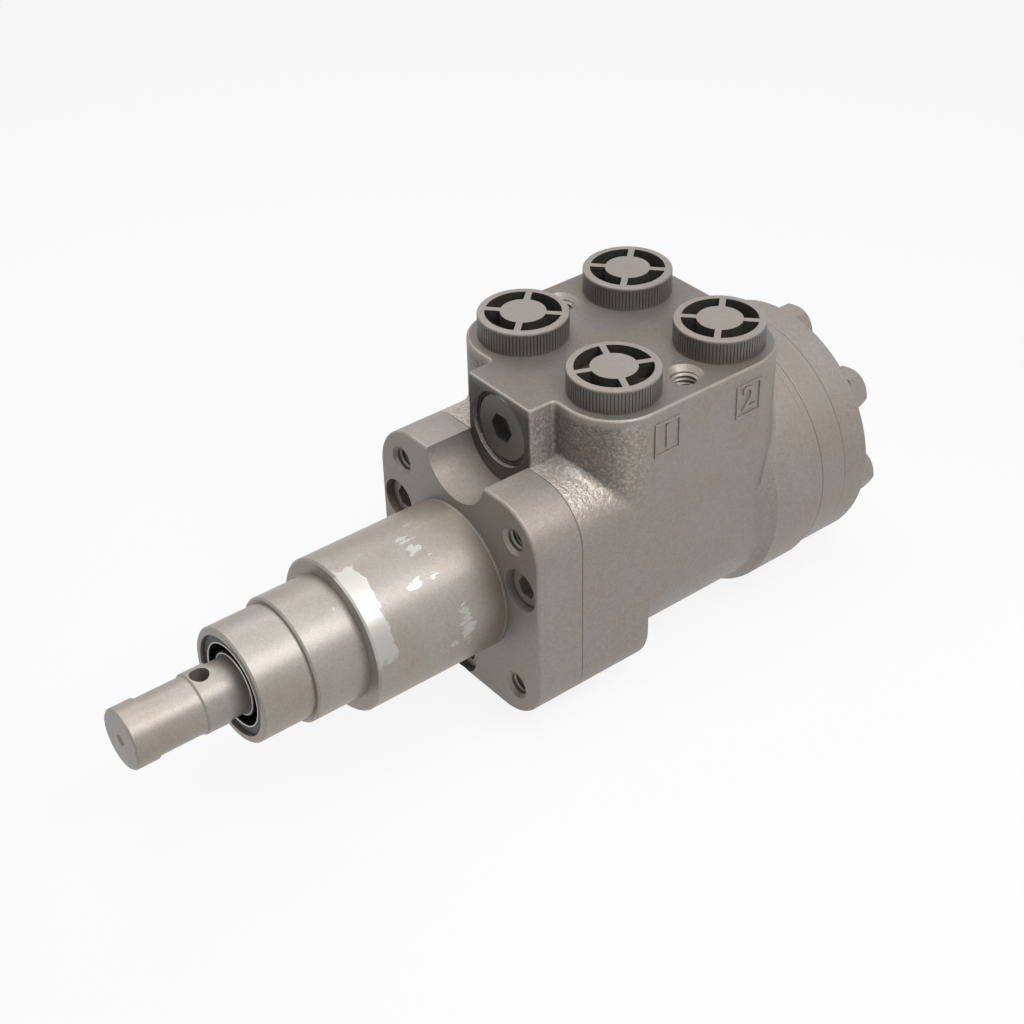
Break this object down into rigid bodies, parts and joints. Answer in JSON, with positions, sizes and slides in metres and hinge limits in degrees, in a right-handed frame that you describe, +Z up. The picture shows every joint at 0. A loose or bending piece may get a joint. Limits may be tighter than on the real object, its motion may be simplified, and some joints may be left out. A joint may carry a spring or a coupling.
{
  "type": "orbital steering unit",
  "caption": "Hydraulic steering unit: a stepped column with its shaft, a square mounting flange, a valve housing with capped ports, and a bolted gerotor stack.",
  "frame": {"origin": "where the shaft's axis meets the front face of the mounting flange", "axes": "-Y along the shaft to its tip, +Z up to the port face, +X to the right seen from the steering wheel"},
  "size_m": [0.1018, 0.3113, 0.1298],
  "materials": {
    "painted_casting": "cast iron with one coat of warm grey metallic paint",
    "painted_column": "turned steel tube with grey paint, worn to bare metal at its edges",
    "painted_steel": "turned and rolled steel under the same grey paint",
    "shaft_steel": "turned steel under thin grey paint, bare on rubbed edges",
    "valve_steel": "hardened and ground",
    "bearing_steel": "hardened and polished",
    "spring_steel": "blued spring steel",
    "bronze": "sintered bearing bronze",
    "brass": "pressed brass",
    "seal_rubber": "black nitrile rubber",
    "dark_steel": "dark phosphated steel",
    "cap_plastic": "moulded plastic under the same grey paint"
  },
  "bodies": {
    "root": {"housing": "painted_casting", "column_flange": "painted_casting", "column_tube": "painted_column", "column_bush": "bronze", "dust_seal": "seal_rubber", "mouth_retaining_ring": "spring_steel", "bearing_outer_race": "bearing_steel", "flange_screws": "painted_steel", "neck_seal": "seal_rubber", "flange_o_ring": "seal_rubber", "front_thrust_race": "bearing_steel", "distributor_plate": "painted_steel", "plate_o_ring": "seal_rubber", "gear_ring": "painted_steel", "end_cap": "painted_casting", "end_cap_o_ring": "seal_rubber", "end_cap_bolts": "painted_steel", "end_cap_washers": "painted_steel", "relief_plug": "dark_steel", "relief_plug_seal": "seal_rubber", "relief_spring": "spring_steel", "relief_seat": "valve_steel", "check_ball_stop": "valve_steel"},
    "sleeve_body": {"sleeve": "valve_steel", "cross_pin": "valve_steel", "spring_ring": "valve_steel", "rear_thrust_race": "bearing_steel", "centring_springs": "spring_steel"},
    "spool_body": {"spool": "valve_steel", "input_shaft": "shaft_steel", "bearing_inner_race": "bearing_steel", "shaft_retaining_ring": "spring_steel"},
    "rotor_orbit_body": {"drive_spacer": "valve_steel"},
    "rotor_body": {"rotor": "valve_steel"},
    "drive_shaft_body": {"drive_shaft": "valve_steel"},
    "thrust_cage_body": {"thrust_needles": "bearing_steel", "thrust_cage": "brass"},
    "ball_cage_body": {"bearing_balls": "bearing_steel", "bearing_cage": "brass"},
    "relief_poppet_body": {"relief_poppet": "valve_steel"},
    "check_ball_body": {"check_ball": "bearing_steel"},
    "tank_cap_body": {"port_cap_tank": "cap_plastic"},
    "pressure_cap_body": {"port_cap_pressure": "cap_plastic"},
    "left_cap_body": {"port_cap_left": "cap_plastic"},
    "right_cap_body": {"port_cap_right": "cap_plastic"}
  },
  "joints": [
    {"name": "sleeve_turn", "type": "hinge", "parent": "root", "child": "sleeve_body", "pos_m": [0, 0.08, 0], "axis": [0, 1, 0], "continuous": true},
    {"name": "spool_twist", "type": "hinge", "parent": "sleeve_body", "child": "spool_body", "pos_m": [0, 0.08, 0], "axis": [0, 1, 0], "range_deg": [-8, 8], "stiffness_Nm_per_rad": 2, "deforming": ["centring_springs"]},
    {"name": "rotor_orbit", "type": "hinge", "parent": "root", "child": "rotor_orbit_body", "pos_m": [0, 0.1439, 0], "axis": [0, 1, 0], "continuous": true},
    {"name": "rotor_spin", "type": "hinge", "parent": "rotor_orbit_body", "child": "rotor_body", "pos_m": [0, 0.1439, 0.0026], "axis": [0, 1, 0], "continuous": true},
    {"name": "drive_shaft_turn", "type": "hinge", "parent": "rotor_orbit_body", "child": "drive_shaft_body", "pos_m": [0, 0.05, 0], "axis": [0, 0.9996, 0.0277], "continuous": true},
    {"name": "thrust_cage_turn", "type": "hinge", "parent": "root", "child": "thrust_cage_body", "pos_m": [0, 0.0225, 0], "axis": [0, 1, 0], "continuous": true},
    {"name": "ball_cage_turn", "type": "hinge", "parent": "root", "child": "ball_cage_body", "pos_m": [0, -0.0818, 0], "axis": [0, 1, 0], "continuous": true},
    {"name": "relief_poppet_lift", "type": "slide", "parent": "root", "child": "relief_poppet_body", "axis": [0, -1, 0], "range_m": [0, 0.003], "stiffness_N_per_m": 800, "deforming": ["relief_spring"]},
    {"name": "check_ball_lift", "type": "slide", "parent": "root", "child": "check_ball_body", "axis": [0, 0, 1], "range_m": [0, 0.002]},
    {"name": "tank_cap_pull", "type": "slide", "parent": "root", "child": "tank_cap_body", "axis": [0, 0, 1], "range_m": [0, 0.014]},
    {"name": "pressure_cap_pull", "type": "slide", "parent": "root", "child": "pressure_cap_body", "axis": [0, 0, 1], "range_m": [0, 0.014]},
    {"name": "left_cap_pull", "type": "slide", "parent": "root", "child": "left_cap_body", "axis": [0, 0, 1], "range_m": [0, 0.014]},
    {"name": "right_cap_pull", "type": "slide", "parent": "root", "child": "right_cap_body", "axis": [0, 0, 1], "range_m": [0, 0.014]}
  ],
  "couplings": [
    {"joint": "rotor_orbit", "follows": "sleeve_turn", "ratio": -6},
    {"joint": "rotor_spin", "follows": "sleeve_turn", "ratio": 7},
    {"joint": "drive_shaft_turn", "follows": "sleeve_turn", "ratio": 7},
    {"joint": "thrust_cage_turn", "follows": "sleeve_turn", "ratio": 0.5},
    {"joint": "ball_cage_turn", "follows": "sleeve_turn", "ratio": 0.4263}
  ]
}
